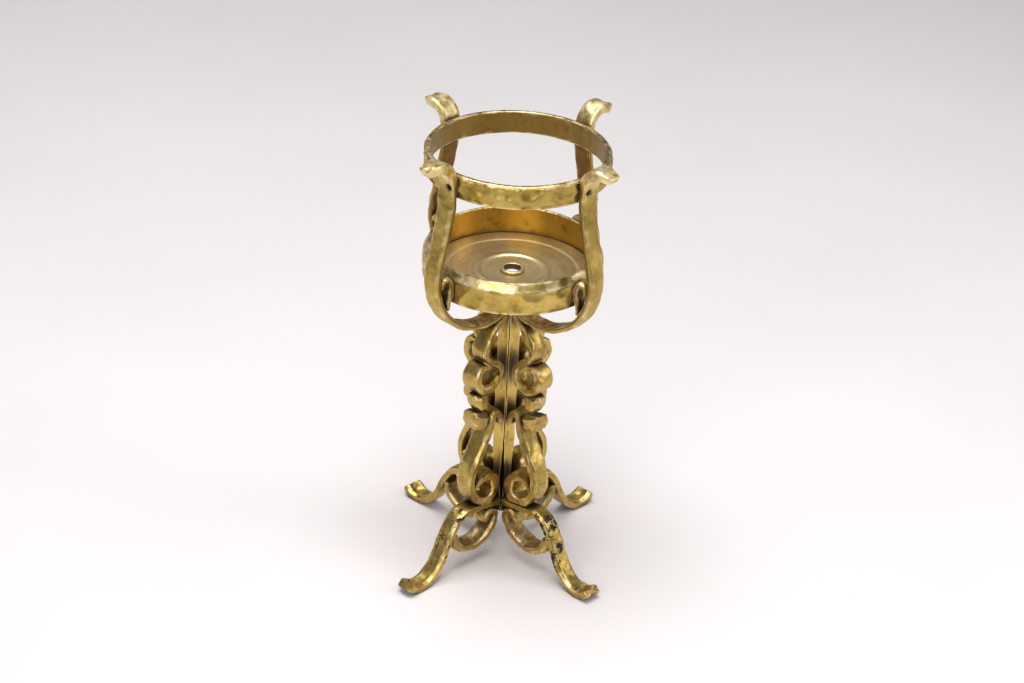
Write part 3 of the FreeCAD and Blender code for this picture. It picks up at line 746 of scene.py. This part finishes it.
def span_of(node):
    """A node's lowest and highest points, mm."""
    low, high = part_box(node)
    return low[2] / MM, high[2] / MM


def raised(profile, base):
    """A (radius, height) profile lifted on to a base height."""
    return [(radius, base + height) for radius, height in profile]


# Both hoops carry a painted highlight on their upward faces, the lower hoop's top bevel the most.
bottom, top = span_of("upper_hoop")
outer, inner = UPPER_HOOP_RADIUS, UPPER_HOOP_RADIUS - UPPER_HOOP_WALL
turned_part("upper_hoop_metal",
            [(inner, bottom + 0.4), (inner + 0.4, bottom), (outer - 0.8, bottom), (outer, bottom + 0.8),
             (outer, top - 1.4), (outer - 1.0, top - 0.2), (outer - 1.6, top), (inner + 0.4, top),
             (inner, top - 0.4)],
            "stand", ("upper_hoop",), hoop_material, mark=8.5, depth=1.9, depth_inside=0.06,
            wave=0.2, seed=11, upward_highlight=0.35)

bottom, top = span_of("lower_hoop")
outer, inner = LOWER_HOOP_RADIUS, LOWER_HOOP_RADIUS - LOWER_HOOP_WALL
ledge = inner - LEDGE_WIDTH
turned_part("lower_hoop_metal",
            [(ledge, bottom), (outer - 0.9, bottom), (outer, bottom + 0.9), (outer, top - 5.3),
             (outer - 0.3, top - 4.6), (outer - 2.5, top - 0.4), (outer - 2.9, top), (inner + 0.5, top),
             (inner, top - 0.5), (inner, bottom + 1.1), (ledge, bottom + 1.1)],
            "stand", ("lower_hoop",), cup_material, mark=9.5, depth=1.5, depth_inside=0.05,
            wave=0.12, seed=17, upward_highlight=0.7)

under = span_of("pan")[0]
turned_part("pan_metal",
            raised([(6.3, 0), (52.4, 0), (52.6, 0.3), (52.6, 1.2), (52.3, 1.45), (43.0, 1.5), (42.2, 1.35),
                    (41.6, 1.15), (24.2, 1.2), (23.7, 1.5), (23.2, 1.7), (20.8, 1.7), (20.3, 1.5),
                    (19.9, 0.95), (19.2, 0.8), (6.3, 0.8)], under),
            "pan", ("pan",), pan_material, turns=300, step=0.8, smooth=70)

base, flange = span_of("pan_eyelet")
turned_part("pan_eyelet_metal",
            [(5.05, base), (5.95, base)]
            + raised([(5.95, -2.05), (7.3, -2.05), (7.72, -1.5), (7.7, -0.8), (7.3, -0.2), (6.5, 0),
                      (5.7, -0.15), (5.15, -0.7)], flange),
            "pan", ("pan_eyelet",), pan_material, turns=120, step=0.4, smooth=60, bore_shade=0.9)

rivet_material = gilt("rivet_gilt", (0.16, 0.11, 0.04), (0.26, 0.18, 0.07), (0.4, 0.3, 0.14), offset=40)
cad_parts["upper_hoop_rivets"].data.materials[0] = rivet_material


# ---- stage ------------------------------------------------------------------------------------

edge = FLOOR_HALF * MM
floor_mesh = bpy.data.meshes.new("floor")
floor_mesh.from_pydata([(-edge, -edge, 0), (edge, -edge, 0), (edge, edge, 0), (-edge, edge, 0)], [],
                       [(0, 1, 2, 3)])
floor_mesh.materials.append(paper())
floor = bpy.data.objects.new("floor", floor_mesh)
bpy.context.scene.collection.objects.link(floor)

# elevation, turn and roll are in degrees, distance and target in metres and lens in mm.
look_from(elevation=29.3, turn=-1.85, distance=1.5, roll=2.96, target=(0.0022, 0, 0.15885), lens=81.35)

world = bpy.data.worlds.new("studio")
world.use_nodes = True
world.node_tree.nodes["Background"].inputs[0].default_value = (0.62, 0.62, 0.66, 1)
world.node_tree.nodes["Background"].inputs[1].default_value = 0.40
bpy.context.scene.world = world
area_light("overhead", (-0.15, -0.1, 1.8), (1.4, 1.1), 30, (1.0, 0.98, 0.96))
area_light("front_fill", (-0.6, -1.6, 1.0), (1.2, 0.9), 12, (1.0, 0.98, 0.97))
area_light("right_strip", (1.3, -0.3, 0.9), (0.5, 1.2), 6, (1.0, 0.97, 0.94))
bpy.context.scene.view_settings.view_transform = "Standard"
